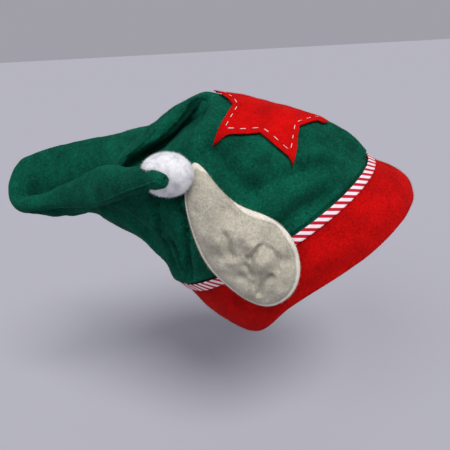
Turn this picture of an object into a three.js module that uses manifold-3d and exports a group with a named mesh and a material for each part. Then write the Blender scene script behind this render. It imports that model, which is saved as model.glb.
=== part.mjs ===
import * as THREE from 'three';
import { mergeVertices } from 'three/addons/utils/BufferGeometryUtils.js';
import Module from 'manifold-3d';

const wasm = await Module();
wasm.setup();

// Head opening and cuff, in millimetres.
const headLength = 205;
const headWidth = 155;
const rimTilt = THREE.MathUtils.degToRad(32.8);
const cuffHeight = 43;
const cuffWall = 2.5;
const cuffLean = 12;
const cuffTaper = 3.2;
const cuffBelly = 3;
const frontBelly = 5;
const cuffFlare = 1.5;
const rimDroop = 18;
const cornerTurn = 52;
const cornerSpread = 20;
const backTrim = 4;
const hemLap = 10;

// Felt shell, from the rim centre to the peak and to the end of the tail.
const feltWall = 2;
const crownRise = 140;
const tailReach = 250;
const crownHalf = 80;
const bulge = 2.5;

// Tuck on the near side of the crown. Its place and its drift down the side are in sections.
const tuckDepth = 15;
const tuckLean = 7;
const tuckStart = 9;
const tuckDrift = 2;
const rollSpread = 1.3;

// Trim.
const ribbonWidth = 6.4;
const ribbonWall = 1;
const ribbonLift = 2.4;
const ribbonEase = 0.8;
const starRadius = 53.5;
const starWaist = 0.544;
const starWall = 1.6;
const earLength = 118;
const earEdge = 2.6;
const earPad = 8;
const pompomRadius = 16.5;
const pompomSquash = 0.9;
const lockLength = 4;
const lockWidth = 4.6;
const lockCount = 28;

// Small gaps between neighbouring pieces.
const fit = 0.35;
const drapeGap = 0.85;
const seatGap = 0.7;

const around = 40;
const up = new THREE.Vector3(0, 0, 1);
const backAlongRim = new THREE.Vector3(0, Math.cos(rimTilt), -Math.sin(rimTilt));
const rimNormal = new THREE.Vector3(0, Math.sin(rimTilt), Math.cos(rimTilt));

// The oval of the cuff at a height above the rim, grown or shrunk by an offset.
function oval(height, offset) {
  const share = height / cuffHeight;
  const centre = backAlongRim.clone().multiplyScalar(cuffLean * share - backTrim);
  centre.addScaledVector(rimNormal, height);
  const long = headLength / 2 - backTrim - cuffTaper * share + offset;
  return { centre, long, half: headWidth / 2 + cuffFlare * share + offset };
}

// A ring of the oval. Front moves its foremost part further out.
function ovalRing(height, offset, front = 0) {
  const shape = oval(height, offset);
  const ring = [];
  for (let step = 0; step < around; step += 1) {
    const angle = 2 * Math.PI * step / around;
    const long = shape.long * Math.cos(angle) + front * Math.max(0, Math.cos(angle)) ** 3;
    const point = shape.centre.clone().addScaledVector(backAlongRim, -long);
    point.x += shape.half * Math.sin(angle);
    // The rim hangs lowest at two soft corners behind the ears.
    const fromCorner = (Math.abs(THREE.MathUtils.radToDeg(angle) - 180) - cornerTurn) / cornerSpread;
    const droop = rimDroop * Math.exp(-(fromCorner ** 2));
    point.addScaledVector(rimNormal, -droop * Math.max(0, 1 - height / cuffHeight));
    ring.push(point);
  }
  return ring;
}

// Turns the triangles outward by the sign of the volume they enclose.
function finish(points, faces) {
  let volume = 0;
  for (const [a, b, c] of faces) {
    volume += points[a].dot(points[b].clone().cross(points[c]));
  }
  const flat = [];
  for (const [a, b, c] of faces) {
    flat.push(...(volume > 0 ? [a, b, c] : [a, c, b]));
  }
  const geometry = new THREE.BufferGeometry();
  geometry.setAttribute('position', new THREE.Float32BufferAttribute(points.flatMap((p) => p.toArray()), 3));
  geometry.setIndex(flat);
  geometry.computeVertexNormals();
  return geometry;
}

function middleOf(ring) {
  const middle = new THREE.Vector3();
  ring.forEach((point) => middle.addScaledVector(point, 1 / ring.length));
  return middle;
}

// Joins rings of equal count into one body, closed as a loop or with a cap at both ends.
function skin(rings, loop) {
  const count = rings[0].length;
  const points = rings.flat();
  const faces = [];
  const last = loop ? rings.length : rings.length - 1;
  for (let row = 0; row < last; row += 1) {
    const here = row * count;
    const there = ((row + 1) % rings.length) * count;
    for (let step = 0; step < count; step += 1) {
      const next = (step + 1) % count;
      faces.push([here + step, here + next, there + next]);
      faces.push([here + step, there + next, there + step]);
    }
  }
  if (!loop) {
    for (const end of [0, rings.length - 1]) {
      const first = end * count;
      points.push(middleOf(rings[end]));
      for (let step = 0; step < count; step += 1) {
        const next = (step + 1) % count;
        const pair = end === 0 ? [first + next, first + step] : [first + step, first + next];
        faces.push([...pair, points.length - 1]);
      }
    }
  }
  return finish(points, faces);
}

// Sections of the crown and the tail. Back and up are shares of the reach and the rise,
// side and half are shares of the half width of the crown.
const crownSections = [
  { topBack: -0.176, topUp: 0.664, lowBack: 0.474, lowUp: -0.114, side: 0, half: 1.02 },
  { topBack: -0.132, topUp: 0.743, lowBack: 0.49, lowUp: -0.029, side: 0, half: 1.01 },
  { topBack: -0.052, topUp: 0.814, lowBack: 0.524, lowUp: 0.057, side: 0, half: 0.97 },
  { topBack: 0.048, topUp: 0.879, lowBack: 0.56, lowUp: 0.121, side: -0.02, half: 0.89 },
  { topBack: 0.152, topUp: 0.936, lowBack: 0.6, lowUp: 0.171, side: -0.05, half: 0.76 },
  { topBack: 0.248, topUp: 0.979, lowBack: 0.636, lowUp: 0.207, side: -0.075, half: 0.65 },
  { topBack: 0.32, topUp: 0.996, lowBack: 0.664, lowUp: 0.236, side: -0.11, half: 0.56 },
  { topBack: 0.38, topUp: 0.961, lowBack: 0.688, lowUp: 0.264, side: -0.14, half: 0.475 },
  { topBack: 0.428, topUp: 0.9, lowBack: 0.708, lowUp: 0.29, side: -0.15, half: 0.39 },
  { topBack: 0.48, topUp: 0.829, lowBack: 0.732, lowUp: 0.3, side: -0.16, half: 0.31 },
  { topBack: 0.56, topUp: 0.811, lowBack: 0.76, lowUp: 0.3, side: -0.175, half: 0.24 },
  { topBack: 0.652, topUp: 0.771, lowBack: 0.796, lowUp: 0.289, side: -0.19, half: 0.185 },
  { topBack: 0.752, topUp: 0.739, lowBack: 0.83, lowUp: 0.282, side: -0.19, half: 0.14 },
  { topBack: 0.86, topUp: 0.704, lowBack: 0.868, lowUp: 0.279, side: -0.19, half: 0.112 },
  { topBack: 0.948, topUp: 0.66, lowBack: 0.898, lowUp: 0.284, side: -0.19, half: 0.096 },
];

// The fold at the end of the tail, turning towards the near side.
const foldSections = [
  { turn: 30, topBack: 0.98, topUp: 0.608, lowBack: 0.919, lowUp: 0.292, side: -0.205, half: 0.094 },
  { turn: 60, topBack: 0.999, topUp: 0.553, lowBack: 0.936, lowUp: 0.305, side: -0.245, half: 0.092 },
  { turn: 90, topBack: 0.997, topUp: 0.503, lowBack: 0.947, lowUp: 0.321, side: -0.3, half: 0.09 },
  { turn: 120, topBack: 0.98, topUp: 0.468, lowBack: 0.943, lowUp: 0.338, side: -0.355, half: 0.09 },
  { turn: 150, topBack: 0.954, topUp: 0.451, lowBack: 0.932, lowUp: 0.352, side: -0.395, half: 0.09 },
];

// The tip, lying in front of the tail and running back to the crown.
const tipSections = [
  { topBack: 0.924, topUp: 0.452, lowBack: 0.912, lowUp: 0.36, side: -0.412, half: 0.09 },
  { topBack: 0.852, topUp: 0.475, lowBack: 0.838, lowUp: 0.38, side: -0.428, half: 0.092 },
  { topBack: 0.78, topUp: 0.525, lowBack: 0.768, lowUp: 0.398, side: -0.455, half: 0.1 },
  { topBack: 0.708, topUp: 0.58, lowBack: 0.704, lowUp: 0.41, side: -0.505, half: 0.11 },
  { topBack: 0.632, topUp: 0.65, lowBack: 0.645, lowUp: 0.425, side: -0.59, half: 0.12 },
  { topBack: 0.562, topUp: 0.688, lowBack: 0.58, lowUp: 0.472, side: -0.725, half: 0.11 },
  { topBack: 0.492, topUp: 0.682, lowBack: 0.502, lowUp: 0.543, side: -0.875, half: 0.085 },
  { topBack: 0.443, topUp: 0.693, lowBack: 0.451, lowUp: 0.584, side: -0.98, half: 0.065 },
  { topBack: 0.362, topUp: 0.682, lowBack: 0.364, lowUp: 0.642, side: -1.075, half: 0.04 },
];

// Depth and forward lean of the tuck, by distance from its line in sections: the front edge,
// the gap, and the roll of felt behind it.
const tuckProfile = [
  { along: -1.5, depth: 0, lean: 0 },
  { along: -1.2, depth: 0.08, lean: -0.15 },
  { along: -1, depth: 0.22, lean: -0.35 },
  { along: -0.83, depth: 0.8, lean: -0.2 },
  { along: -0.67, depth: 1, lean: 0 },
  { along: -0.33, depth: 1, lean: 0.1 },
  { along: -0.17, depth: 0.6, lean: 0.6 },
  { along: 0, depth: 0.1, lean: 0.9 },
  { along: 0.17, depth: -0.18, lean: 1 },
  { along: 0.5, depth: -0.31, lean: 0.9 },
  { along: 0.83, depth: -0.29, lean: 0.75 },
  { along: 1, depth: -0.12, lean: 0.55 },
  { along: 1.5, depth: -0.05, lean: 0.3 },
  { along: 2.2, depth: 0, lean: 0 },
];

const tops = [];
const lows = [];
const sides = [];

function addSection(top, low, half, turn) {
  tops.push(top);
  lows.push(low);
  sides.push(new THREE.Vector3(half, THREE.MathUtils.degToRad(turn), 0));
}

function place(side, back, rise) {
  return new THREE.Vector3(side * crownHalf, back * tailReach, rise * crownRise);
}

const tuckedIn = -cuffWall - fit;
const hemLevels = [
  { height: cuffHeight - hemLap, offset: tuckedIn },
  { height: cuffHeight + ribbonLift + fit, offset: tuckedIn },
  { height: cuffHeight + 2 * ribbonLift, offset: bulge },
];
for (const level of hemLevels) {
  const shape = oval(level.height, level.offset);
  const front = shape.centre.clone().addScaledVector(backAlongRim, -shape.long);
  const back = shape.centre.clone().addScaledVector(backAlongRim, shape.long);
  addSection(front, back, shape.half, 0);
}
function addRow(row, turn) {
  const top = place(row.side, row.topBack, row.topUp);
  addSection(top, place(row.side, row.lowBack, row.lowUp), row.half * crownHalf, turn);
}
crownSections.forEach((row) => addRow(row, 0));
foldSections.forEach((row) => addRow(row, row.turn));
tipSections.forEach((row) => addRow(row, 180));

const topLine = new THREE.CatmullRomCurve3(tops);
const lowLine = new THREE.CatmullRomCurve3(lows);
const sideLine = new THREE.CatmullRomCurve3(sides, false, 'catmullrom', 0.3);
const lastSection = tops.length - 1;

function profile(along, key) {
  const rows = tuckProfile;
  if (along <= rows[0].along || along >= rows.at(-1).along) {
    return 0;
  }
  const after = rows.findIndex((row) => row.along > along);
  const share = (along - rows[after - 1].along) / (rows[after].along - rows[after - 1].along);
  return THREE.MathUtils.lerp(rows[after - 1][key], rows[after][key], share);
}

function deepest(along) {
  let most = 0;
  for (let step = -4; step <= 4; step += 1) {
    most = Math.max(most, profile(along + 0.2 * step, 'depth'));
  }
  return most;
}

// Soft dents of the crown, by section number and degrees from the top towards the near side.
const dents = [
  { section: 3.5, fromTop: 128, long: 2.6, wide: 11, depth: 4 },
  { section: 6.5, fromTop: 136, long: 2, wide: 12, depth: 3 },
  { section: 5, fromTop: 52, long: 1, wide: 18, depth: 2.4 },
  { section: 3.2, fromTop: 84, long: 0.9, wide: 14, depth: 2 },
  { section: 4.5, fromTop: 235, long: 1.6, wide: 14, depth: 2.6 },
  { section: 7, fromTop: 290, long: 1.2, wide: 16, depth: 2.4 },
];

function dentDepth(section, fromTop) {
  let depth = 0;
  for (const dent of dents) {
    const across = (section - dent.section) / dent.long;
    const aside = (fromTop - dent.fromTop) / dent.wide;
    depth += dent.depth * Math.exp(-across * across - aside * aside);
  }
  return depth * THREE.MathUtils.smoothstep(section, 2, 3);
}

// Rows lean with the tuck: how far a row is moved along the felt at an angle from the top.
function drift(row, fromTop) {
  const turn = fromTop < 100 ? fromTop / 90 : (360 - fromTop) / 234;
  const before = THREE.MathUtils.clamp((row - 3.2) / 3.8, 0, 1);
  const after = THREE.MathUtils.clamp((15.5 - row) / 4.7, 0, 1);
  return tuckDrift * turn ** 4 * Math.min(before, after);
}

// How far the tuck sinks and leans. It fades out at the top and low on the side, and its roll
// starts below the top and grows wider downward.
function tuck(distance, fromTop, inner) {
  const { smoothstep } = THREE.MathUtils;
  const held = fromTop < 180 ? smoothstep(fromTop, 0, 16) * (1 - smoothstep(fromTop, 66, 104)) : 0;
  const rolled = smoothstep(fromTop, 10, 30);
  const along = distance > 0 ? distance / (1 + rollSpread * smoothstep(fromTop, 22, 50)) : distance;
  if (inner) {
    return { sink: tuckDepth * held * deepest(along), lean: 0 };
  }
  const depth = profile(along, 'depth');
  const lean = tuckLean * held * rolled * profile(along, 'lean');
  return { sink: tuckDepth * held * (depth < 0 ? depth * rolled : depth), lean };
}

// One ring of the felt at a row number, moved inward by an inset.
function feltRing(row, inset, inner) {
  const ring = [];
  for (let step = 0; step < around; step += 1) {
    const angle = 2 * Math.PI * step / around;
    const fromTop = 360 * (around - step) / around % 360;
    const section = row + drift(row, fromTop);
    const share = Math.min(1, section / lastSection);
    const top = topLine.getPoint(share);
    const low = lowLine.getPoint(share);
    const { x: half, y: turn } = sideLine.getPoint(share);
    const long = top.distanceTo(low) / 2;
    const tall = top.clone().sub(low).normalize();
    const wide = new THREE.Vector3(Math.cos(turn), Math.sin(turn), 0);
    const onward = tall.clone().cross(wide).negate();
    const { sink, lean } = tuck(row - tuckStart, fromTop, inner);
    const inward = inset + sink + dentDepth(section, fromTop);
    const point = top.clone().add(low).multiplyScalar(0.5);
    point.addScaledVector(tall, Math.cos(angle) * (long - inward));
    point.addScaledVector(wide, Math.sin(angle) * (half - inward));
    point.addScaledVector(onward, -lean);
    ring.push(point);
  }
  return ring;
}

function feltRings(from, to, steps, inset, inner) {
  const rings = [];
  for (let span = from; span < to; span += 1) {
    for (let part = 0; part < steps(span); part += 1) {
      rings.push(feltRing(span + part / steps(span), inset, inner));
    }
  }
  rings.push(feltRing(to, inset, inner));
  return rings;
}

const hollowEnd = lastSection - 3;
// Rings are close together in the tuck and few along the straight tail.
function outerSteps(span) {
  if (span < 2 || (span >= 12 && span < 16) || (span >= 24 && span < 28)) {
    return 1;
  }
  if (span === 8 || span === 9) {
    return 6;
  }
  return span === 7 || span === 10 ? 4 : 2;
}
const outerRings = feltRings(0, lastSection, outerSteps, 0, false);
const innerRings = feltRings(0, hollowEnd, () => 1, feltWall, true);
const crownGeometry = skin([...innerRings.reverse(), ...outerRings], false);

// The cuff swells below the ribbon, most of all low at the front.
const cuffLevels = [0, 0.14, 0.35, 0.58, 0.8, 1];
function cuffRing(share, inset) {
  const swell = cuffBelly * Math.sin(Math.PI * Math.min(1, share / 0.85)) ** 2;
  return ovalRing(share * cuffHeight, swell - inset, frontBelly * Math.sin(Math.PI * share ** 0.6));
}
const cuffOuter = cuffLevels.map((share) => cuffRing(share, 0));
const cuffInner = cuffLevels.map((share) => cuffRing(share, cuffWall));
const cuffGeometry = skin([...cuffOuter, ...cuffInner.reverse()], true);

const ribbonHigh = cuffHeight + ribbonLift;
const ribbonLow = ribbonHigh - ribbonWidth;
const ribbonInner = ribbonEase + fit;
const ribbonGeometry = skin([
  ovalRing(ribbonLow, ribbonInner + ribbonWall), ovalRing(ribbonHigh, ribbonInner + ribbonWall),
  ovalRing(ribbonHigh, ribbonInner), ovalRing(ribbonLow, ribbonInner),
], true);

function mesh(name, geometry, color, roughness) {
  const material = new THREE.MeshStandardMaterial({ color, roughness, metalness: 0 });
  const piece = new THREE.Mesh(geometry, material);
  piece.name = name;
  return piece;
}

const crown = mesh('crown', crownGeometry, 0x0c5a43, 0.95);
const cuff = mesh('cuff', cuffGeometry, 0xbb0a0c, 0.95);
const ribbon = mesh('ribbon', ribbonGeometry, 0xf0cfd6, 0.6);
for (const piece of [crown, cuff, ribbon]) {
  piece.material.side = THREE.DoubleSide;
  piece.updateMatrixWorld();
}

const ray = new THREE.Raycaster();

// Distance from a start point to the hat, taken as the nearest of a small patch of rays.
function reachTo(start, direction, first, second, spread) {
  let nearest = Infinity;
  for (const a of [-spread, 0, spread]) {
    for (const b of [-spread, 0, spread]) {
      const from = start.clone().addScaledVector(first, a).addScaledVector(second, b);
      ray.set(from, direction);
      const hits = ray.intersectObjects([crown, cuff, ribbon]);
      if (hits.length > 0) {
        nearest = Math.min(nearest, hits[0].distance);
      }
    }
  }
  return nearest;
}

// Lays a flat outline on the hat. The thickness follows the share of the way to the edge.
function lay(outline, levels, middle, first, second, normal, spread, thickness) {
  const under = [];
  const over = [];
  const into = normal.clone().negate();
  const start = middle.clone().addScaledVector(normal, 200);
  const spot = (x, y, share) => {
    const from = start.clone().addScaledVector(first, x).addScaledVector(second, y);
    const depth = reachTo(from, into, first, second, spread) - drapeGap;
    under.push(from.clone().addScaledVector(into, depth));
    over.push(from.clone().addScaledVector(into, depth - thickness(share)));
  };
  spot(0, 0, 0);
  for (const share of levels) {
    outline.forEach((point) => spot(point.x * share, point.y * share, share));
  }
  const count = outline.length;
  const total = under.length;
  const faces = [];
  for (let step = 0; step < count; step += 1) {
    const next = (step + 1) % count;
    faces.push([0, 1 + next, 1 + step], [total, total + 1 + step, total + 1 + next]);
    for (let level = 1; level < levels.length; level += 1) {
      const near = 1 + (level - 1) * count;
      const far = near + count;
      faces.push([near + step, near + next, far + next], [near + step, far + next, far + step]);
      faces.push([total + near + step, total + far + next, total + near + next]);
      faces.push([total + near + step, total + far + step, total + far + next]);
    }
    const rim = 1 + (levels.length - 1) * count;
    faces.push([rim + step, rim + next, total + rim + next], [rim + step, total + rim + next, total + rim + step]);
  }
  return finish([...under, ...over], faces);
}

// Star on the top front, leaning to the near side.
const starNormal = new THREE.Vector3(-0.47, -0.27, 0.84).normalize();
const starFirst = new THREE.Vector3(0.882, -0.17, 0.439);
starFirst.addScaledVector(starNormal, -starFirst.dot(starNormal)).normalize();
const starSecond = starNormal.clone().cross(starFirst);
const starMiddle = place(-0.278, 0.116, 0.892);
const starOutline = [];
for (let corner = 0; corner < 10; corner += 1) {
  const here = corner * Math.PI / 5;
  const next = here + Math.PI / 5;
  const hereReach = corner % 2 === 0 ? starRadius : starRadius * starWaist;
  const nextReach = corner % 2 === 0 ? starRadius * starWaist : starRadius;
  const from = new THREE.Vector2(Math.cos(here), Math.sin(here)).multiplyScalar(hereReach);
  const to = new THREE.Vector2(Math.cos(next), Math.sin(next)).multiplyScalar(nextReach);
  starOutline.push(from, from.clone().lerp(to, 1 / 3), from.clone().lerp(to, 2 / 3));
}
const starGeometry = lay(
  starOutline, [0.22, 0.42, 0.62, 0.82, 1], starMiddle, starFirst, starSecond, starNormal, 3, () => starWall,
);

// Outline of the ear, as shares of its length from a point in its broad part.
const earPoints = [
  { back: 0.303, rise: 0.497 },
  { back: 0.236, rise: 0.453 },
  { back: 0.146, rise: 0.352 },
  { back: 0.028, rise: 0.26 },
  { back: -0.105, rise: 0.215 },
  { back: -0.225, rise: 0.135 },
  { back: -0.3, rise: 0 },
  { back: -0.32, rise: -0.165 },
  { back: -0.26, rise: -0.32 },
  { back: -0.12, rise: -0.41 },
  { back: 0.045, rise: -0.345 },
  { back: 0.185, rise: -0.21 },
  { back: 0.285, rise: -0.06 },
  { back: 0.34, rise: 0.139 },
  { back: 0.368, rise: 0.311 },
  { back: 0.338, rise: 0.455 },
];
const earLine = new THREE.CatmullRomCurve3(
  earPoints.map((row) => new THREE.Vector3(row.back * earLength, row.rise * earLength, 0)), true,
);
const earOutline = earLine.getPoints(28).slice(0, -1).map((point) => new THREE.Vector2(point.x, point.y));
const backward = new THREE.Vector3(0, 1, 0);
const earShape = (share) => earEdge + (earPad - earEdge) * Math.sqrt(Math.max(0, 1 - share ** 3));

function ear(side) {
  const middle = new THREE.Vector3(0, 0.168 * tailReach, 0.286 * crownRise);
  const normal = new THREE.Vector3(side, 0, 0);
  return lay(earOutline, [0.3, 0.55, 0.78, 0.92, 1], middle, backward, up, normal, 4, earShape);
}

function toSolid(geometry) {
  const bare = new THREE.BufferGeometry();
  bare.setAttribute('position', geometry.getAttribute('position').clone());
  if (geometry.index) {
    bare.setIndex(geometry.index.clone());
  }
  const merged = mergeVertices(bare, 1e-4);
  return new wasm.Manifold(new wasm.Mesh({
    numProp: 3,
    vertProperties: new Float32Array(merged.getAttribute('position').array),
    triVerts: new Uint32Array(merged.index.array),
  }));
}

function fromSolid(solid) {
  const result = solid.getMesh();
  const geometry = new THREE.BufferGeometry();
  geometry.setAttribute('position', new THREE.Float32BufferAttribute(result.vertProperties, 3));
  geometry.setIndex(Array.from(result.triVerts));
  geometry.computeVertexNormals();
  return geometry;
}

// Pompom behind the tip of the felt: a core with short locks fused to it. The tip lies on it,
// in a seat that is open towards the near side.
const tipPoint = middleOf(feltRing(lastSection, 0, false));
const pompomMiddle = tipPoint.clone().add(new THREE.Vector3(4, 4.5, 1));
let fluff = toSolid(new THREE.IcosahedronGeometry(pompomRadius, 2));
for (let lock = 0; lock < lockCount; lock += 1) {
  const height = 1 - 2 * (lock + 0.5) / lockCount;
  const angle = lock * Math.PI * (3 - Math.sqrt(5));
  const flat = Math.sqrt(1 - height * height);
  const way = new THREE.Vector3(flat * Math.cos(angle), flat * Math.sin(angle), height);
  const tuft = new THREE.IcosahedronGeometry(1, 0);
  tuft.scale(lockWidth, lockWidth, lockLength);
  tuft.applyQuaternion(new THREE.Quaternion().setFromUnitVectors(up, way));
  tuft.translate(...way.multiplyScalar(pompomRadius - lockLength / 2).toArray());
  fluff = fluff.add(toSolid(tuft));
}
fluff = fluff.scale([1, 1, pompomSquash]).translate(pompomMiddle.toArray());
const tipEnd = toSolid(skin(feltRings(lastSection - 2, lastSection, () => 2, -seatGap, false), false));
const seat = wasm.Manifold.hull([
  tipEnd, tipEnd.translate([0, -seatGap, 0]), tipEnd.translate([-2 * pompomRadius, 0, 0]),
]);
const pompomGeometry = fromSolid(fluff.subtract(seat));

const hat = new THREE.Group();
hat.name = 'elf_hat';
hat.add(
  crown,
  cuff,
  ribbon,
  mesh('star', starGeometry, 0xc8080a, 0.95),
  mesh('ear_right', ear(-1), 0xd2ccbc, 1),
  mesh('ear_left', ear(1), 0xd2ccbc, 1),
  mesh('pompom', pompomGeometry, 0xe6e0ec, 1),
);
for (const piece of hat.children) {
  piece.material.side = THREE.FrontSide;
}

export default hat;
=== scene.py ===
import math

import bpy
import numpy as np
from mathutils import Matrix, Vector, noise
from mathutils.bvhtree import BVHTree


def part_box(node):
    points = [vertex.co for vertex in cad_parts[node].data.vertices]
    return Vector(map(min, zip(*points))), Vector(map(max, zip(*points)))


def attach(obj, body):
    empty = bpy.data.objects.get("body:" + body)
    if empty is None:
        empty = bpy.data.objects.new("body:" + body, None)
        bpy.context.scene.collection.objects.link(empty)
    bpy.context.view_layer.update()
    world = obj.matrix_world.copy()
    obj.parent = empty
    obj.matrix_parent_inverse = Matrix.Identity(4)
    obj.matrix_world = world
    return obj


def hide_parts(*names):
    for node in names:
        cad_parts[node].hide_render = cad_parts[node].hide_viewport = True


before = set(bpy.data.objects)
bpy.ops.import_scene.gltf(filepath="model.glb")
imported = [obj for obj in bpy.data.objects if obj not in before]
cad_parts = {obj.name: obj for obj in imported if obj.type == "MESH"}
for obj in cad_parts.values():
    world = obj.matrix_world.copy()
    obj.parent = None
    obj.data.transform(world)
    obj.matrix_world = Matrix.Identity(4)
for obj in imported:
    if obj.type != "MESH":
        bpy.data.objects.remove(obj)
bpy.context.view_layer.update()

MM = 0.001
UP = Vector((0, 0, 1))

# Sizes that the hat shares with its source, in metres.
RIM_TILT = math.radians(32.8)
HEAD_LENGTH = 205 * MM
HEAD_WIDTH = 155 * MM
CUFF_HEIGHT = 43 * MM
CUFF_LEAN = 12 * MM
CUFF_TAPER = 3.2 * MM
CUFF_SPREAD = 1.5 * MM
BACK_TRIM = 4 * MM
RIBBON_WIDTH = 6.4 * MM
CROWN_HALF = 80 * MM
CROWN_RISE = 140 * MM
TAIL_REACH = 250 * MM
STAR_RADIUS = 53.5 * MM
STAR_WAIST = 0.544
BACK_ALONG_RIM = Vector((0, math.cos(RIM_TILT), -math.sin(RIM_TILT)))
RIM_NORMAL = Vector((0, math.sin(RIM_TILT), math.cos(RIM_TILT)))

# The view of the photograph: a wide lens close to the hat's right side, looking down.
VIEW_PLACE = Vector((-366, 12, 174.5)) * MM
VIEW_YAW = math.radians(8.8)
VIEW_PITCH = math.radians(22.05)
VIEW_ROLL = math.radians(3.245)
PICTURE_SIZE = 450
FOCAL_PIXELS = 451
SENSOR = 36
FLOOR_LEVEL = -0.1755
FLOOR_SIZE = 40


# Camera, lights and floor

def view_axes():
    ahead = Vector((math.cos(VIEW_YAW), math.sin(VIEW_YAW), 0))
    level = Vector((math.sin(VIEW_YAW), -math.cos(VIEW_YAW), 0))
    forward = math.cos(VIEW_PITCH) * ahead - math.sin(VIEW_PITCH) * UP
    above = math.sin(VIEW_PITCH) * ahead + math.cos(VIEW_PITCH) * UP
    right = math.cos(VIEW_ROLL) * level - math.sin(VIEW_ROLL) * above
    top = math.sin(VIEW_ROLL) * level + math.cos(VIEW_ROLL) * above
    return right, top, forward


def add_camera():
    data = bpy.data.cameras.new("photo_view")
    data.sensor_width = SENSOR
    data.lens = FOCAL_PIXELS / PICTURE_SIZE * SENSOR
    camera = bpy.data.objects.new("photo_view", data)
    bpy.context.collection.objects.link(camera)
    right, top, forward = view_axes()
    turn = Matrix((right, top, -forward)).transposed().to_4x4()
    camera.matrix_world = Matrix.Translation(VIEW_PLACE) @ turn
    bpy.context.scene.camera = camera


def sight_line(across, down):
    """Direction from the camera through a point of the picture."""
    right, top, forward = view_axes()
    middle = PICTURE_SIZE / 2
    way = forward * FOCAL_PIXELS + right * (across - middle) - top * (down - middle)
    return way.normalized()


def add_light(name, source, spread, strength, color):
    """A far soft light. Source points towards it, and spread is its width in degrees."""
    data = bpy.data.lights.new(name, "SUN")
    data.angle = math.radians(spread)
    data.energy = strength
    data.color = color
    lamp = bpy.data.objects.new(name, data)
    bpy.context.collection.objects.link(lamp)
    lamp.rotation_euler = Vector(source).to_track_quat("Z", "Y").to_euler()


def add_stage():
    add_light("ceiling_light", (-0.55, -0.4, 1.0), 28, 2.9, (1.0, 0.99, 0.98))
    add_light("window_light", (-0.8, 0.5, 0.9), 40, 0.9, (0.96, 0.97, 1.0))
    world = bpy.data.worlds.new("pale_room")
    bpy.context.scene.world = world
    world.use_nodes = True
    sky = world.node_tree.nodes["Background"]
    sky.inputs["Color"].default_value = (0.47, 0.46, 0.52, 1)
    sky.inputs["Strength"].default_value = 0.75
    bpy.ops.mesh.primitive_plane_add(size=FLOOR_SIZE, location=(0, 0, FLOOR_LEVEL))
    floor = bpy.context.object
    floor.name = "floor"
    coat = new_material("pale_floor", (0.36, 0.36, 0.4), 0.8)
    floor.data.materials.append(coat["material"])


# Materials. Each cloth has the colours of its dark, middle and light fibres.

GREEN_FIBRES = ((0.0006, 0.024, 0.014), (0.0014, 0.061, 0.035), (0.005, 0.13, 0.077))
CUFF_FIBRES = ((0.21, 0.0006, 0.0008), (0.39, 0.0014, 0.0016), (0.56, 0.004, 0.004))
STAR_FIBRES = ((0.30, 0.0006, 0.0008), (0.45, 0.0014, 0.0014), (0.58, 0.004, 0.003))
PLUSH_FIBRES = ((0.25, 0.23, 0.178), (0.385, 0.36, 0.29), (0.55, 0.52, 0.44))
FLUFF_FIBRES = ((0.93, 0.93, 0.98), (0.97, 0.97, 1.0), (1.0, 1.0, 1.0))
THREAD_FIBRES = ((0.6, 0.55, 0.54), (0.78, 0.74, 0.72), (0.9, 0.88, 0.86))
# Painted highlight: the ear's rim is coloured lighter, standing in for light that catches its turned edge.
EAR_RIM_HIGHLIGHT = (0.78, 0.73, 0.64)
RIBBON_CRIMSON = (0.42, 0.004, 0.018)
RIBBON_WHITE = (0.80, 0.64, 0.68)
DARK_PATCH = 0.78
LIGHT_PATCH = 1.15
FLUFF_DEPTH = 4 * MM


def new_material(name, color, roughness, sheen=0.0, sheen_tint=(1, 1, 1)):
    material = bpy.data.materials.new(name)
    material.use_nodes = True
    tree = material.node_tree
    shader = tree.nodes["Principled BSDF"]
    shader.inputs["Base Color"].default_value = (*color, 1)
    shader.inputs["Roughness"].default_value = roughness
    shader.inputs["Sheen Weight"].default_value = sheen
    shader.inputs["Sheen Roughness"].default_value = 0.5
    shader.inputs["Sheen Tint"].default_value = (*sheen_tint, 1)
    shader.inputs["Specular IOR Level"].default_value = 0.06
    return {"material": material, "tree": tree, "shader": shader}


def link(tree, source, target):
    tree.links.new(source, target)


def fibre_group():
    """Matted fibres: a fine and a coarse mask and a height."""
    group = bpy.data.node_groups.new("matted_fibres", "ShaderNodeTree")
    sockets = group.interface
    sockets.new_socket("Position", in_out="INPUT", socket_type="NodeSocketVector")
    sockets.new_socket("Fibre Scale", in_out="INPUT", socket_type="NodeSocketFloat")
    sockets.new_socket("Patch Scale", in_out="INPUT", socket_type="NodeSocketFloat")
    sockets.new_socket("Fibres", in_out="OUTPUT", socket_type="NodeSocketFloat")
    sockets.new_socket("Patches", in_out="OUTPUT", socket_type="NodeSocketFloat")
    sockets.new_socket("Height", in_out="OUTPUT", socket_type="NodeSocketFloat")
    start = group.nodes.new("NodeGroupInput")
    end = group.nodes.new("NodeGroupOutput")
    fine = group.nodes.new("ShaderNodeTexNoise")
    fine.inputs["Detail"].default_value = 5
    fine.inputs["Roughness"].default_value = 0.7
    fine.inputs["Distortion"].default_value = 1.4
    coarse = group.nodes.new("ShaderNodeTexNoise")
    coarse.inputs["Detail"].default_value = 3
    coarse.inputs["Roughness"].default_value = 0.6
    mix = group.nodes.new("ShaderNodeMath")
    mix.operation = "MULTIPLY_ADD"
    mix.inputs[1].default_value = 0.35
    for texture, scale in ((fine, "Fibre Scale"), (coarse, "Patch Scale")):
        link(group, start.outputs["Position"], texture.inputs["Vector"])
        link(group, start.outputs[scale], texture.inputs["Scale"])
    link(group, coarse.outputs["Fac"], mix.inputs[0])
    link(group, fine.outputs["Fac"], mix.inputs[2])
    link(group, fine.outputs["Fac"], end.inputs["Fibres"])
    link(group, coarse.outputs["Fac"], end.inputs["Patches"])
    link(group, mix.outputs["Value"], end.inputs["Height"])
    return group


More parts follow.
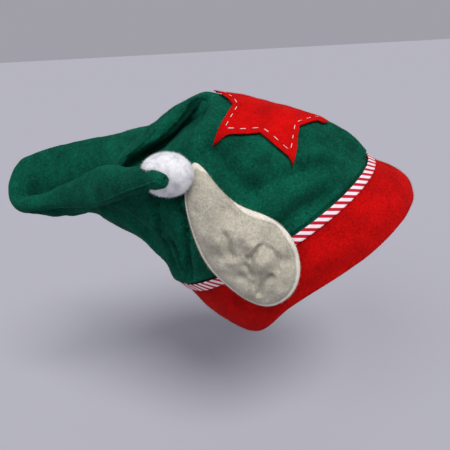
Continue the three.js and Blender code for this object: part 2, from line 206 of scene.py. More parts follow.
def ramp(tree, source, stops):
    node = tree.nodes.new("ShaderNodeValToRGB")
    elements = node.color_ramp.elements
    elements[0].position, elements[0].color = stops[0][0], (*stops[0][1], 1)
    elements[1].position, elements[1].color = stops[-1][0], (*stops[-1][1], 1)
    for place, color in stops[1:-1]:
        element = elements.new(place)
        element.color = (*color, 1)
    link(tree, source, node.inputs["Fac"])
    return node.outputs["Color"]


def blend_colors(tree, factor, first, second, mode="MIX", amount=None):
    node = tree.nodes.new("ShaderNodeMix")
    node.data_type = "RGBA"
    node.blend_type = mode
    if amount is None:
        link(tree, factor, node.inputs["Factor"])
    else:
        node.inputs["Factor"].default_value = amount
    for value, socket in ((first, node.inputs[6]), (second, node.inputs[7])):
        if isinstance(value, tuple):
            socket.default_value = (*value, 1)
        else:
            link(tree, value, socket)
    return node.outputs[2]


def add_fibres(coat, group, fibre_scale, patch_scale, colors, depth, dark_patch=DARK_PATCH):
    """Colours a cloth by its fibres and patches and raises them."""
    tree = coat["tree"]
    dark, middle, light = colors
    place = tree.nodes.new("ShaderNodeTexCoord")
    fibres = tree.nodes.new("ShaderNodeGroup")
    fibres.node_tree = group
    link(tree, place.outputs["Object"], fibres.inputs["Position"])
    fibres.inputs["Fibre Scale"].default_value = fibre_scale
    fibres.inputs["Patch Scale"].default_value = patch_scale
    color = ramp(tree, fibres.outputs["Fibres"], [(0.3, dark), (0.5, middle), (0.72, light)])
    patches = ramp(tree, fibres.outputs["Patches"], [(0.32, (dark_patch,) * 3), (0.66, (LIGHT_PATCH,) * 3)])
    color = blend_colors(tree, None, color, patches, "MULTIPLY", 1.0)
    bump = tree.nodes.new("ShaderNodeBump")
    bump.inputs["Strength"].default_value = 0.55
    bump.inputs["Distance"].default_value = depth
    link(tree, fibres.outputs["Height"], bump.inputs["Height"])
    link(tree, bump.outputs["Normal"], coat["shader"].inputs["Normal"])
    link(tree, color, coat["shader"].inputs["Base Color"])
    return color


def green_felt(group):
    coat = new_material("green_felt", (0.004, 0.08, 0.05), 0.95, 0.06, (0.1, 0.7, 0.5))
    add_fibres(coat, group, 620, 45, GREEN_FIBRES, 0.4 * MM, 0.6)
    return coat["material"]


def red_felt(group, name, colors):
    coat = new_material(name, colors[1], 0.95, 0.05, (1.0, 0.2, 0.15))
    add_fibres(coat, group, 620, 55, colors, 0.4 * MM)
    return coat["material"]


def ear_plush(group):
    coat = new_material("cream_plush", (0.5, 0.48, 0.41), 1.0, 0.2)
    color = add_fibres(coat, group, 700, 60, PLUSH_FIBRES, 0.6 * MM, 0.92)
    # The rim attribute mixes in the painted highlight along the ear's rim.
    rim = coat["tree"].nodes.new("ShaderNodeAttribute")
    rim.attribute_name = "rim"
    color = blend_colors(coat["tree"], rim.outputs["Fac"], color, EAR_RIM_HIGHLIGHT)
    link(coat["tree"], color, coat["shader"].inputs["Base Color"])
    return coat["material"]


def candy_stripe():
    """Woven stripes that slant across the ribbon, read from its own map."""
    coat = new_material("candy_stripe", (0.9, 0.75, 0.8), 0.5, 0.1)
    tree = coat["tree"]
    place = tree.nodes.new("ShaderNodeUVMap")
    place.uv_map = "ribbon_map"
    split = tree.nodes.new("ShaderNodeSeparateXYZ")
    link(tree, place.outputs["UV"], split.inputs["Vector"])
    stripe = tree.nodes.new("ShaderNodeMath")
    stripe.operation = "FRACT"
    link(tree, split.outputs["X"], stripe.inputs[0])
    color = ramp(tree, stripe.outputs["Value"], [
        (0.0, RIBBON_CRIMSON), (0.42, RIBBON_CRIMSON), (0.49, RIBBON_WHITE), (0.93, RIBBON_WHITE),
        (0.99, RIBBON_CRIMSON)])
    weave = tree.nodes.new("ShaderNodeTexWave")
    weave.inputs["Scale"].default_value = 9
    weave.bands_direction = "Y"
    link(tree, place.outputs["UV"], weave.inputs["Vector"])
    bump = tree.nodes.new("ShaderNodeBump")
    bump.inputs["Strength"].default_value = 0.35
    bump.inputs["Distance"].default_value = 0.15 * MM
    link(tree, weave.outputs["Fac"], bump.inputs["Height"])
    link(tree, bump.outputs["Normal"], coat["shader"].inputs["Normal"])
    link(tree, color, coat["shader"].inputs["Base Color"])
    return coat["material"]


def fluff_coat(group):
    coat = new_material("white_fluff", (0.93, 0.93, 0.97), 1.0, 0.1)
    add_fibres(coat, group, 500, 140, FLUFF_FIBRES, 0.15 * MM)
    coat["shader"].inputs["Subsurface Weight"].default_value = 0.7
    coat["shader"].inputs["Subsurface Radius"].default_value = (FLUFF_DEPTH,) * 3
    coat["shader"].inputs["Subsurface Scale"].default_value = 1
    return coat["material"]


def thread_coat(group):
    coat = new_material("white_thread", (0.8, 0.78, 0.76), 0.7)
    add_fibres(coat, group, 1600, 300, THREAD_FIBRES, 0.1 * MM)
    return coat["material"]


# Shaping

def select_only(piece):
    bpy.ops.object.select_all(action="DESELECT")
    piece.select_set(True)
    bpy.context.view_layer.objects.active = piece


def copy_of(node, name):
    """A merged copy of a node's mesh, in faces of four sides where they can be."""
    piece = bpy.data.objects.new(name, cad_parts[node].data.copy())
    bpy.context.collection.objects.link(piece)
    piece.data.materials.clear()
    select_only(piece)
    bpy.ops.object.mode_set(mode="EDIT")
    bpy.ops.mesh.select_all(action="SELECT")
    bpy.ops.mesh.remove_doubles(threshold=0.01 * MM)
    bpy.ops.mesh.tris_convert_to_quads(face_threshold=math.pi, shape_threshold=math.pi)
    bpy.ops.mesh.normals_make_consistent(inside=False)
    bpy.ops.object.mode_set(mode="OBJECT")
    return piece


def subdivide(piece, levels, kind="CATMULL_CLARK"):
    rounding = piece.modifiers.new("rounding", "SUBSURF")
    rounding.subdivision_type = kind
    rounding.levels = levels
    rounding.render_levels = levels
    select_only(piece)
    bpy.ops.object.modifier_apply(modifier=rounding.name)
    bpy.ops.object.shade_smooth()


def points_of(piece):
    flat = np.empty(len(piece.data.vertices) * 3)
    piece.data.vertices.foreach_get("co", flat)
    return flat.reshape(-1, 3)


def normals_of(piece):
    flat = np.empty(len(piece.data.vertices) * 3)
    piece.data.vertex_normals.foreach_get("vector", flat)
    return flat.reshape(-1, 3)


def set_points(piece, points):
    piece.data.vertices.foreach_set("co", np.ascontiguousarray(points).ravel())
    piece.data.update()


def unit(rows):
    return rows / np.maximum(np.linalg.norm(rows, axis=1), 1e-9)[:, None]


def tree_of(piece):
    vertices = [v.co for v in piece.data.vertices]
    return BVHTree.FromPolygons(vertices, [tuple(p.vertices) for p in piece.data.polygons])


def seen_point(tree, across, down):
    """Where a point of the picture falls on a piece."""
    place, normal, _, _ = tree.ray_cast(VIEW_PLACE, sight_line(across, down))
    return place, normal


def unevenness(points, size, seed):
    """Smooth noise between -1 and 1 at each point."""
    shift = Vector((seed * 3.1, seed * 7.7, seed * 1.3))
    return np.array([noise.noise(Vector(p) / size + shift) for p in points])


def crease(points, route, width, depth, shoulder=0.3):
    """Sinks a soft valley with raised shoulders along a route of places and normals."""
    nearest = np.full(len(points), 1e9)
    ways = np.zeros_like(points)
    for (first, first_way), (second, second_way) in zip(route[:-1], route[1:]):
        way = np.array(second - first)
        share = np.clip((points - np.array(first)) @ way / (way @ way), 0, 1)[:, None]
        far = np.linalg.norm(points - np.array(first) - share * way, axis=1)
        closer = far < nearest
        nearest[closer] = far[closer]
        ways[closer] = ((1 - share) * np.array(first_way) + share * np.array(second_way))[closer]
    far = nearest / width
    shape = -np.exp(-far ** 2) + shoulder * np.exp(-(far - 1.9) ** 2)
    return points + unit(ways) * (depth * shape)[:, None]


def seen_route(tree, pixels):
    found = [seen_point(tree, across, down) for across, down in pixels]
    return [(place, normal) for place, normal in found if place is not None]


def hat_piece(piece, node, material):
    piece.data.materials.append(material)
    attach(piece, "root")
    if node:
        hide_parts(node)


# The green crown with its tail. Each crease is given where it shows in the picture, with its
# width and depth in millimetres. A depth below zero is a ridge.
CROWN_CREASES = [
    {"name": "gap of the tuck",
     "route": [(203, 101), (197, 109), (187, 120), (175, 131), (163, 143), (149, 153)],
     "width": 2.6, "depth": 8.0, "shoulder": 0.0},
    {"name": "behind the ear", "route": [(186, 212), (187, 240), (191, 276)],
     "width": 3.0, "depth": 7.0, "shoulder": 0.4},
    {"name": "gather above the ribbon", "route": [(174, 240), (181, 258), (188, 280)],
     "width": 2.2, "depth": 4.6, "shoulder": 0.5},
    {"name": "back gather", "route": [(160, 228), (169, 250), (178, 274)],
     "width": 2.4, "depth": 3.8, "shoulder": 0.4},
    {"name": "outer back gather", "route": [(146, 232), (158, 252), (168, 268)],
     "width": 3.0, "depth": 2.8},
    {"name": "under the pompom", "route": [(157, 197), (157, 210), (161, 230)],
     "width": 2.2, "depth": 6.0, "shoulder": 0.5},
    {"name": "under the pompom, second", "route": [(180, 190), (181, 204), (179, 224)],
     "width": 2.4, "depth": 6.0, "shoulder": 0.5},
    {"name": "ridge under the pompom", "route": [(169, 196), (170, 212), (172, 238)],
     "width": 4.0, "depth": -3.0},
    {"name": "under the tail", "route": [(104, 206), (125, 214), (150, 232)],
     "width": 5.0, "depth": 2.6},
    {"name": "below the star", "route": [(262, 190), (273, 184), (297, 173), (322, 164)],
     "width": 6.0, "depth": 6.0},
    {"name": "across the last one", "route": [(268, 170), (276, 192)],
     "width": 4.5, "depth": 3.2},
    {"name": "beside the star", "route": [(211, 152), (226, 172), (247, 197)],
     "width": 8.5, "depth": 7.0},
    {"name": "over the ear", "route": [(281, 229), (300, 213), (324, 200)],
     "width": 7.0, "depth": 5.5},
    {"name": "front", "route": [(329, 128), (348, 143), (364, 154)],
     "width": 6.5, "depth": 5.0},
    {"name": "under the star's arm", "route": [(300, 136), (318, 146), (336, 150)],
     "width": 5.0, "depth": 3.0},
    {"name": "before the tuck", "route": [(214, 104), (206, 122), (192, 146)],
     "width": 5.0, "depth": -2.6},
    {"name": "beside the ear", "route": [(196, 150), (214, 176), (240, 206)],
     "width": 6.0, "depth": -3.0},
]
SEAMS = [
    [(157, 128), (150, 135), (141, 144), (133, 151), (124, 158)],
    [(156, 181), (148, 184), (140, 187), (130, 190), (120, 194), (108, 199), (96, 204)],
]
# Pulls that bring the lip of the roll forward over the gap, as it hangs in the picture.
# Each takes a place from one point of the picture to another, with all that lies within its
# reach in millimetres. The last four hold still.
ROLL_PULLS = [
    {"at": (156, 116), "to": (162, 122), "reach": 9},
    {"at": (166, 107), "to": (173, 111), "reach": 9},
    {"at": (178, 101), "to": (188, 101), "reach": 8},
    {"at": (183, 102), "to": (201, 100), "reach": 6},
    {"at": (173, 110), "to": (191, 112), "reach": 7},
    {"at": (164, 119), "to": (181, 122), "reach": 7},
    {"at": (156, 128), "to": (170, 131), "reach": 7},
    {"at": (147, 137), "to": (158, 140), "reach": 7},
    {"at": (139, 146), "to": (145, 148), "reach": 6},
    {"at": (209, 104), "to": (209, 104), "reach": 7},
    {"at": (200, 116), "to": (200, 116), "reach": 7},
    {"at": (188, 131), "to": (188, 131), "reach": 7},
    {"at": (174, 147), "to": (174, 147), "reach": 7},
]
ROLL_LIFT = 2 * MM
LEAST_PULL = 0.1 * MM
TIP_PULLS = [
    {"at": (166, 181), "to": (160, 181), "reach": 6},
    {"at": (152, 178), "to": (151, 173), "reach": 6},
    {"at": (142, 178), "to": (141, 172), "reach": 7},
    {"at": (132, 174), "to": (131, 170), "reach": 7},
    {"at": (152, 186), "to": (151, 188), "reach": 5},
    {"at": (140, 189), "to": (140, 191), "reach": 6},
]
SEAM_RADIUS = 0.9 * MM
SEAM_SINK = 0.15 * MM
TIP_END = Vector((-86, 90.8, 92.7)) * MM
TIP_WAY = Vector((-0.337, -0.93, 0.146)).normalized()
TIP_LENGTH = 22 * MM
TIP_HALF = 15 * MM
TIP_LONGER = 0.6 * MM
TIP_THICKER = 1.4 * MM
TIP_NEARER = 6 * MM
HEM_COVER = 5 * MM
HEM_BLEND = 8 * MM
CROWN_CORE = np.array((0, 70, 50)) * MM


def pull(points, tree, pulls, lift):
    """Moves places across the picture, and a little towards it, together with what is near them."""
    total = np.zeros_like(points)
    weights = np.zeros(len(points))
    for one in pulls:
        place, _ = seen_point(tree, *one["at"])
        if place is None:
            continue
        depth = (place - VIEW_PLACE).length
        move = VIEW_PLACE + sight_line(*one["to"]) * depth - place
        if move.length > LEAST_PULL:
            move -= sight_line(*one["to"]) * lift
        far = np.linalg.norm(points - np.array(place), axis=1) / (one["reach"] * MM)
        weight = np.exp(-far ** 2)
        total += weight[:, None] * np.array(move)
        weights += weight
    return points + total / np.maximum(weights, 1)[:, None]


def fill_tip(points, normals):
    """Gives the tip back the length and the roundness that rounding takes off."""
    along = (points - np.array(TIP_END)) @ np.array(TIP_WAY)
    aside = np.linalg.norm(points - np.array(TIP_END) - np.outer(along, np.array(TIP_WAY)), axis=1)
    share = np.clip(1 + along / TIP_LENGTH, 0, 1) * (aside < TIP_HALF)
    share = (share ** 2 * (3 - 2 * share))[:, None]
    move = np.array(TIP_WAY) * TIP_LONGER + normals * TIP_THICKER
    move[:, 0] -= TIP_NEARER
    return points + share * move


def make_crown(material):
    crown = copy_of("crown", "crown_felt")
    subdivide(crown, 2)
    points = fill_tip(points_of(crown), normals_of(crown))
    set_points(crown, points)
    normals = normals_of(crown)
    tree = tree_of(crown)
    swell = 1.9 * MM * unevenness(points, 26 * MM, 1) + 0.7 * MM * unevenness(points, 11 * MM, 2)
    # The hem under the cuff and the ribbon stays even.
    height = points @ np.array(RIM_NORMAL)
    free = np.clip((height - CUFF_HEIGHT - HEM_COVER) / HEM_BLEND, 0, 1)
    outward = unit(points - CROWN_CORE)
    facing = np.sign((outward * normals).sum(axis=1))[:, None]
    points = points + normals * facing * (swell * free)[:, None]
    for fold in CROWN_CREASES:
        route = seen_route(tree, fold["route"])
        points = crease(points, route, fold["width"] * MM, fold["depth"] * MM, fold.get("shoulder", 0.25))
    set_points(crown, points)
    points = pull(points, tree_of(crown), ROLL_PULLS, ROLL_LIFT)
    set_points(crown, points)
    set_points(crown, pull(points, tree_of(crown), TIP_PULLS, 0))
    hat_piece(crown, "crown", material)
    return crown


def make_seams(crown, material):
    """The raised edges of the seams down the roll and along the tip."""
    tree = tree_of(crown)
    parts = []
    for seam in SEAMS:
        route = []
        for (x, y), (next_x, next_y) in zip(seam[:-1], seam[1:]):
            for share in (0, 0.25, 0.5, 0.75):
                place, normal = seen_point(tree, x + (next_x - x) * share, y + (next_y - y) * share)
                route.append(place - normal * SEAM_SINK)
        parts.append(thread(route, SEAM_RADIUS))
    seams = mesh_piece("crown_seams", parts)
    hat_piece(seams, None, material)
    return seams


def make_cuff(material):
    cuff = copy_of("cuff", "cuff_felt")
    subdivide(cuff, 2)
    points = points_of(cuff)
    height = points @ np.array(RIM_NORMAL)
    # The wave fades out towards the ribbon.
    free = np.clip((CUFF_HEIGHT - 7 * MM - height) / (10 * MM), 0, 1)
    sideways = np.column_stack([points[:, 0], points @ np.array(BACK_ALONG_RIM), height * 0.4])
    wave = 1.1 * MM * unevenness(sideways, 30 * MM, 5) + 0.4 * MM * unevenness(sideways, 10 * MM, 6)
    # Both faces move together, so that the felt keeps its thickness.
    outward = points.copy()
    outward -= np.outer(height, np.array(RIM_NORMAL))
    outward /= np.linalg.norm(outward, axis=1)[:, None]
    points = points + outward * (wave * free)[:, None]
    set_points(cuff, points)
    hat_piece(cuff, "cuff", material)
    return cuff


def ribbon_angle(point):
    """Turn round the rim's oval, 0 at the front, and the height above the rim."""
    height = point.dot(RIM_NORMAL)
    share = height / CUFF_HEIGHT
    centre = CUFF_LEAN * share - BACK_TRIM
    long = HEAD_LENGTH / 2 - BACK_TRIM - CUFF_TAPER * share
    half = HEAD_WIDTH / 2 + CUFF_SPREAD * share
    back = (point.dot(BACK_ALONG_RIM) - centre) / long
    return math.atan2(point.x / half, -back) % (2 * math.pi), height


STRIPES_AROUND = 77
STRIPE_SLANT = 0.85
LEVEL_EDGE = 0.3 * MM
EDGE_CRISPNESS = 0.75


def make_ribbon(material):
    ribbon = copy_of("ribbon", "ribbon_band")
    # The long edges stay fairly crisp when the ribbon is rounded.
    crease_layer = ribbon.data.attributes.new("crease_edge", "FLOAT", "EDGE")
    for edge in ribbon.data.edges:
        first, second = (ribbon.data.vertices[i].co for i in edge.vertices)
        level = abs((first - second).dot(RIM_NORMAL)) < LEVEL_EDGE
        crease_layer.data[edge.index].value = EDGE_CRISPNESS if level else 0.0
    subdivide(ribbon, 2)
    chart = ribbon.data.uv_layers.new(name="ribbon_map")
    for face in ribbon.data.polygons:
        turns = []
        heights = []
        for corner in face.loop_indices:
            vertex = ribbon.data.vertices[ribbon.data.loops[corner].vertex_index]
            turn, height = ribbon_angle(vertex.co)
            turns.append(turn / (2 * math.pi))
            heights.append(height / RIBBON_WIDTH)
        spread = max(turns) - min(turns) > 0.5
        for corner, turn, height in zip(face.loop_indices, turns, heights):
            turn += 1 if spread and turn < 0.5 else 0
            chart.data[corner].uv = (turn * STRIPES_AROUND + height * STRIPE_SLANT, height)
    hat_piece(ribbon, "ribbon", material)
    return ribbon


# The red star and its running stitches

STAR_NORMAL = Vector((-0.47, -0.27, 0.84)).normalized()
STAR_FIRST = Vector((0.882, -0.17, 0.439))
STAR_FIRST = (STAR_FIRST - STAR_NORMAL * STAR_FIRST.dot(STAR_NORMAL)).normalized()
STAR_SECOND = STAR_NORMAL.cross(STAR_FIRST)
STAR_MIDDLE = Vector((-0.278 * CROWN_HALF, 0.116 * TAIL_REACH, 0.892 * CROWN_RISE))
STITCH_LENGTH = 4.6 * MM
STITCH_STEP = 9.6 * MM
STITCH_INSET = 4.2 * MM
THREAD_RADIUS = 0.24 * MM
STITCH_LIFT = 0.16 * MM
STITCH_SINK = 0.3 * MM
POINT_HALF_ANGLE = math.radians(28)
STAR_OVER = 2.6 * MM
STITCH_OVER = 3 * MM
LEAST_OVER = 0.3 * MM
MAP_UNIT = 10 * MM
HIGH_OVER = 0.1

# Corners of the star, counted round from its first axis, and where they show in the picture.
STAR_CORNERS = [
    {"corner": 3, "at": (232, 107)},
    {"corner": 4, "at": (213, 142.5)},
    {"corner": 5, "at": (260, 138)},
    {"corner": 6, "at": (292, 167.5)},
    {"corner": 7, "at": (297.5, 129.5)},
    {"corner": 8, "at": (328.5, 122.8)},
]


def make_star(material):
    star = copy_of("star", "star_felt")
    subdivide(star, 2, "SIMPLE")
    hat_piece(star, "star", material)
    return star


def star_corner(corner):
    angle = corner * math.pi / 5
    reach = STAR_RADIUS if corner % 2 == 0 else STAR_RADIUS * STAR_WAIST
    return reach * math.cos(angle), reach * math.sin(angle)


def star_map(crown_tree):
    """The even stretch and shift in the star's plane that fits its corners to the picture."""
    rows = []
    goals = []
    for one in STAR_CORNERS:
        place, _ = seen_point(crown_tree, *one["at"])
        rows.append((*star_corner(one["corner"]), MAP_UNIT))
        away = place - STAR_MIDDLE
        goals.append((away.dot(STAR_FIRST), away.dot(STAR_SECOND)))
    return np.linalg.lstsq(np.array(rows), np.array(goals), rcond=None)[0]


def level_under(tree, point):
    """Height of a piece along the star's normal, under or over a point."""
    place, _, _, _ = tree.ray_cast(point + STAR_NORMAL * HIGH_OVER, -STAR_NORMAL)
    return None if place is None else (place - STAR_MIDDLE).dot(STAR_NORMAL)


def settle(piece, fitting, bare_tree, crown_tree, most):
    """Fits a piece to the picture and lays it on the creased crown as it lay on the smooth one."""
    points = points_of(piece)
    for index, point in enumerate(points):
        old = Vector(point)
        away = old - STAR_MIDDLE
        flat = np.array((away.dot(STAR_FIRST), away.dot(STAR_SECOND), MAP_UNIT)) @ fitting
        new = STAR_MIDDLE + STAR_FIRST * flat[0] + STAR_SECOND * flat[1]
        new += STAR_NORMAL * away.dot(STAR_NORMAL)
        bare = level_under(bare_tree, old)
        felt = level_under(crown_tree, new)
        if bare is not None and felt is not None:
            over = min(max(away.dot(STAR_NORMAL) - bare, LEAST_OVER), most)
            new += STAR_NORMAL * (felt + over - away.dot(STAR_NORMAL))
        points[index] = new
    set_points(piece, points)


def thread(points, radius, sides=6):
    """Vertices and faces of a closed round thread through points."""
    vertices = []
    faces = []
    last = len(points) - 1
    for index, point in enumerate(points):
        way = (points[min(index + 1, last)] - points[max(index - 1, 0)]).normalized()
        first = way.orthogonal().normalized()
        second = way.cross(first)
        for step in range(sides):
            angle = 2 * math.pi * step / sides
            size = radius * (0.45 if index in (0, last) else 1)
            vertices.append(point + (first * math.cos(angle) + second * math.sin(angle)) * size)
    for index in range(last):
        for step in range(sides):
            here, there = index * sides, (index + 1) * sides
            after = (step + 1) % sides
            faces.append((here + step, here + after, there + after, there + step))
    faces.append(tuple(range(sides))[::-1])
    faces.append(tuple(last * sides + step for step in range(sides)))
    return vertices, faces


def mesh_piece(name, parts):
    vertices = []
    faces = []
    for some_vertices, some_faces in parts:
        start = len(vertices)
        vertices.extend(some_vertices)
        faces.extend(tuple(i + start for i in face) for face in some_faces)
    mesh = bpy.data.meshes.new(name)
    mesh.from_pydata([tuple(v) for v in vertices], [], faces)
    mesh.update()
    piece = bpy.data.objects.new(name, mesh)
    bpy.context.collection.objects.link(piece)
    select_only(piece)
    bpy.ops.object.mode_set(mode="EDIT")
    bpy.ops.mesh.select_all(action="SELECT")
    bpy.ops.mesh.normals_make_consistent(inside=False)
    bpy.ops.object.mode_set(mode="OBJECT")
    bpy.ops.object.shade_smooth()
    return piece


def make_star_stitches(star, material):
    tree = tree_of(star)
    corners = []
    for corner in range(10):
        angle = corner * math.pi / 5
        if corner % 2 == 0:
            reach = STAR_RADIUS - STITCH_INSET / math.sin(POINT_HALF_ANGLE)
        else:
            reach = STAR_RADIUS * STAR_WAIST - STITCH_INSET
        corners.append(Vector((math.cos(angle), math.sin(angle))) * reach)
    parts = []
    for first, second in zip(corners, corners[1:] + corners[:1]):
        length = (second - first).length
        count = max(2, round(length / STITCH_STEP))
        for number in range(count):
            middle = (number + 0.5) / count
            route = []
            for share in (-0.5, -0.3, 0, 0.3, 0.5):
                flat = first.lerp(second, middle + share * STITCH_LENGTH / length)
                above = STAR_MIDDLE + STAR_FIRST * flat.x + STAR_SECOND * flat.y + STAR_NORMAL * HIGH_OVER
                place, normal, _, _ = tree.ray_cast(above, -STAR_NORMAL)
                if place is None:
                    break
                lift = STITCH_LIFT if abs(share) < 0.4 else -STITCH_SINK
                route.append(place + normal * lift)
            if len(route) == 5:
                parts.append(thread(route, THREAD_RADIUS))
    stitches = mesh_piece("star_stitches", parts)
    hat_piece(stitches, None, material)
    return stitches


# The padded ears

EAR_MIDDLE = (0.168 * TAIL_REACH, 0.286 * CROWN_RISE)
EAR_RIM = 2.6 * MM
GROOVE_DEPTH = 1.0 * MM
GROOVE_WIDTH = 1.1 * MM
GROOVE_INSET = 0.8 * MM
CRUMPLE_BLEND = 9 * MM
RIM_HIGHLIGHT_SHARE = 0.75
# Strength of the painted highlight on the ear's rim.
EDGE_BINS = 90
EAR_CREASES = [
    {"route": [(224, 236), (228, 245), (231, 255)], "width": 2.6, "depth": 2.0},
    {"route": [(258, 247), (254, 253), (250, 259)], "width": 1.8, "depth": 3.0},
    {"route": [(250, 259), (247, 265), (252, 274)], "width": 2.2, "depth": 1.8},
    {"route": [(271, 276), (263, 283), (259, 293)], "width": 2.2, "depth": 2.6},
    {"route": [(262, 246), (272, 251), (278, 260), (276, 270)], "width": 2.2, "depth": 1.6},
]
EAR_LUMPS = [
    {"at": (216, 242), "size": 7.0, "height": 3.5},
    {"at": (247, 237), "size": 8.5, "height": 4.4},
    {"at": (252, 245), "size": 4.0, "height": 2.2},
    {"at": (263, 262), "size": 7.0, "height": 4.8},
    {"at": (258, 268), "size": 2.6, "height": 1.4},
    {"at": (268, 258), "size": 2.4, "height": 1.2},
    {"at": (273, 233), "size": 7.0, "height": -4.0},
    {"at": (287, 262), "size": 6.5, "height": -3.1},
    {"at": (235, 262), "size": 4.0, "height": 1.9},
    {"at": (223, 266), "size": 5.0, "height": 1.5},
    {"at": (246, 291), "size": 8.0, "height": 2.8},
    {"at": (278, 290), "size": 6.0, "height": 2.2},
    {"at": (228, 214), "size": 7.5, "height": -2.8},
    {"at": (241, 277), "size": 4.0, "height": -1.9},
]


def depth_inside(points):
    """How far each point lies inside the ear's outline, seen from the side."""
    back = points[:, 1] - EAR_MIDDLE[0]
    rise = points[:, 2] - EAR_MIDDLE[1]
    reach = np.hypot(back, rise)
    spot = (np.arctan2(rise, back) + math.pi) / (2 * math.pi) * EDGE_BINS
    edge = np.zeros(EDGE_BINS)
    np.maximum.at(edge, spot.astype(int) % EDGE_BINS, reach)
    edge = np.array([np.mean(np.take(edge, range(i - 1, i + 2), mode="wrap")) for i in range(EDGE_BINS)])
    wrapped = np.concatenate([edge[-1:], edge, edge[:1]])
    return np.interp(spot - 0.5, np.arange(-1, EDGE_BINS + 1), wrapped) - reach


def make_ear(node, name, side, material, crease_routes, lump_places):
    ear = copy_of(node, name)
    subdivide(ear, 3)
    points = points_of(ear)
    normals = normals_of(ear)
    inside = depth_inside(points)
    outer = (normals[:, 0] * side > 0.1).astype(float)
    middle = np.clip((inside - EAR_RIM) / CRUMPLE_BLEND, 0, 1)
    # Turned rim, then a stitched groove, then a crumpled face.
    groove = -GROOVE_DEPTH * np.exp(-((inside - EAR_RIM - GROOVE_INSET) / GROOVE_WIDTH) ** 2)
    crumple = 0.9 * MM * unevenness(points, 11 * MM, 12) + 0.6 * MM * unevenness(points, 5 * MM, 13)
    outward = np.outer(outer, [side, 0, 0])
    points = points + outward * (groove + crumple * middle)[:, None]
    # The same creases on both ears: the routes are found on the seen one and mirrored.
    for fold, seen in zip(EAR_CREASES, crease_routes):
        route = [(Vector((side * abs(p.x), p.y, p.z)), Vector((side, 0, 0))) for p, _ in seen]
        moved = crease(points, route, fold["width"] * MM, fold["depth"] * MM, 0.3)
        points = np.where(outer[:, None] > 0, moved, points)
    for lump, seen in zip(EAR_LUMPS, lump_places):
        far = np.hypot(points[:, 1] - seen.y, points[:, 2] - seen.z) / (lump["size"] * MM)
        points = points + outward * (lump["height"] * MM * np.exp(-far ** 2))[:, None]
    set_points(ear, points)
    # Painted highlight: the plush is marked lighter near the ear's outline.
    rim_highlight = ear.data.attributes.new("rim", "FLOAT", "POINT")
    rim_highlight.data.foreach_set("value", np.clip(1 - (inside - EAR_RIM) / GROOVE_INSET, 0, 1) * RIM_HIGHLIGHT_SHARE)
    hat_piece(ear, node, material)
    return ear


# Loose fibres that stand on the felt, the plush and the pompom

def scatter(piece, count, rng):
    """Random points on a piece with their normals, spread by area."""
    mesh = piece.data
    mesh.calc_loop_triangles()
    corners = np.empty(len(mesh.loop_triangles) * 3, dtype=int)
    mesh.loop_triangles.foreach_get("vertices", corners)
    corners = corners.reshape(-1, 3)
    points = points_of(piece)
    normals = normals_of(piece)
    a, b, c = (points[corners[:, k]] for k in range(3))
    areas = np.linalg.norm(np.cross(b - a, c - a), axis=1)
    chosen = corners[rng.choice(len(corners), count, p=areas / areas.sum())]
    u, v = rng.random(count), rng.random(count)
    over = u + v > 1
    u, v = np.where(over, 1 - u, u), np.where(over, 1 - v, v)
    weights = np.stack([1 - u - v, u, v], axis=1)[:, :, None]
    ways = (normals[chosen] * weights).sum(axis=1)
    return (points[chosen] * weights).sum(axis=1), unit(ways)


def add_fibres_on(piece, name, count, length, width, stand, material, seed):
    """Short tapered fibres. stand is 1 for upright ones and 0 for ones that lie flat."""
    rng = np.random.default_rng(seed)
    roots, ways = scatter(piece, count, rng)
    lean = unit(ways * stand + rng.normal(size=(count, 3)) * (1 - stand))
    lean = np.where(((lean * ways).sum(axis=1) < 0)[:, None], -lean, lean)
    aside = unit(np.cross(lean, rng.normal(size=(count, 3)))) * width / 2
    lengths = (length * rng.uniform(0.5, 1.3, count))[:, None]
    bend = rng.normal(size=(count, 3)) * 0.3
    middle = roots + lean * lengths * 0.5
    tip = roots + (lean + bend) * lengths
    rows = [roots - aside, roots + aside, middle + aside * 0.7, middle - aside * 0.7, tip]
    vertices = np.stack(rows, axis=1).reshape(-1, 3)
    faces = []
    for start in range(0, count * 5, 5):
        faces.append((start, start + 1, start + 2, start + 3))
        faces.append((start + 3, start + 2, start + 4))
    mesh = bpy.data.meshes.new(name)
    mesh.from_pydata(vertices.tolist(), [], faces)
    mesh.update()
    fuzz = bpy.data.objects.new(name, mesh)
    bpy.context.collection.objects.link(fuzz)
    hat_piece(fuzz, None, material)
    return fuzz


# The pompom: a soft round core under short fibres, pressed in where the tip lies on it

POMPOM_SIZE = (17.0, 17.4, 14.2)
POMPOM_NEAR = 0.58
POMPOM_SHIFT = (1.5, -0.3, 0.0)
TIP_CLEARANCE = 0.4 * MM
TIP_BEHIND = 8 * MM
SMALL_STEP = 0.05 * MM
BESIDE_THE_HAT = -0.2


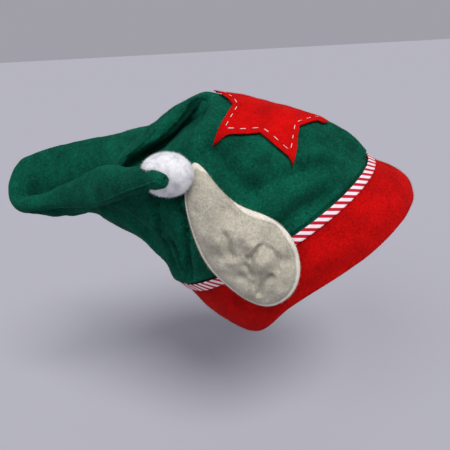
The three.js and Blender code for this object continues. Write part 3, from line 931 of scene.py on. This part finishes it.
def make_pompom(crown, material):
    low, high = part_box("pompom")
    middle = (low + high) / 2 + Vector(POMPOM_SHIFT) * MM
    bpy.ops.mesh.primitive_ico_sphere_add(subdivisions=6, radius=1)
    core = bpy.context.object
    core.name = "pompom_core"
    points = points_of(core)
    points[:, 0] = np.where(points[:, 0] < 0, points[:, 0] * POMPOM_NEAR, points[:, 0])
    points = points * np.array(POMPOM_SIZE) * MM
    rough = 0.4 * MM * unevenness(points, 7 * MM, 21) + 0.15 * MM * unevenness(points, 2.5 * MM, 22)
    points = points + unit(points) * rough[:, None] + np.array(middle)
    tree = tree_of(crown)
    inward = Vector((1, 0, 0))
    for index, point in enumerate(points):
        near, _, _, _ = tree.ray_cast(Vector((BESIDE_THE_HAT, point[1], point[2])), inward)
        if near is None or near.x > middle.x + TIP_BEHIND:
            continue
        far, _, _, _ = tree.ray_cast(near + inward * SMALL_STEP, inward)
        if far is not None:
            points[index, 0] = max(point[0], far.x + TIP_CLEARANCE)
    set_points(core, points)
    select_only(core)
    bpy.ops.object.shade_smooth()
    hat_piece(core, "pompom", material)
    add_fibres_on(core, "pompom_fluff", 34000, 1.7 * MM, 0.16 * MM, 0.6, material, 7)


add_camera()
add_stage()
fibre_node = fibre_group()
thread_material = thread_coat(fibre_node)
crown_coat = green_felt(fibre_node)
cuff_coat = red_felt(fibre_node, "red_felt", CUFF_FIBRES)
star_coat = red_felt(fibre_node, "star_red", STAR_FIBRES)
crown_piece = make_crown(crown_coat)
cuff_piece = make_cuff(cuff_coat)
ribbon_piece = make_ribbon(candy_stripe())
seam_piece = make_seams(crown_piece, crown_coat)
# The ribbon is a trim sewn on the crown, and the stitches hold the star.
star_piece = make_star(star_coat)
stitch_piece = make_star_stitches(star_piece, thread_material)
bare_tree, crown_tree = tree_of(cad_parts["crown"]), tree_of(crown_piece)
fitting = star_map(crown_tree)
settle(star_piece, fitting, bare_tree, crown_tree, STAR_OVER)
settle(stitch_piece, fitting, bare_tree, crown_tree, STITCH_OVER)

ear_tree = tree_of(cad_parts["ear_right"])
routes = [seen_route(ear_tree, fold["route"]) for fold in EAR_CREASES]
places = [seen_point(ear_tree, *lump["at"])[0] for lump in EAR_LUMPS]
plush = ear_plush(fibre_node)
for side, word in ((-1, "right"), (1, "left")):
    ear_piece = make_ear(f"ear_{word}", f"ear_{word}_plush", side, plush, routes, places)
    add_fibres_on(
        ear_piece, f"ear_{word}_fuzz", 26000, 1.1 * MM, 0.12 * MM, 0.5, plush, 30 + side)
make_pompom(crown_piece, fluff_coat(fibre_node))
add_fibres_on(cuff_piece, "cuff_fuzz", 45000, 1.3 * MM, 0.1 * MM, 0.5, cuff_coat, 41)
add_fibres_on(star_piece, "star_fuzz", 9000, 0.8 * MM, 0.09 * MM, 0.45, star_coat, 42)
add_fibres_on(crown_piece, "crown_fuzz", 60000, 1.0 * MM, 0.1 * MM, 0.45, crown_coat, 43)

bpy.context.scene.view_settings.view_transform = "Standard"
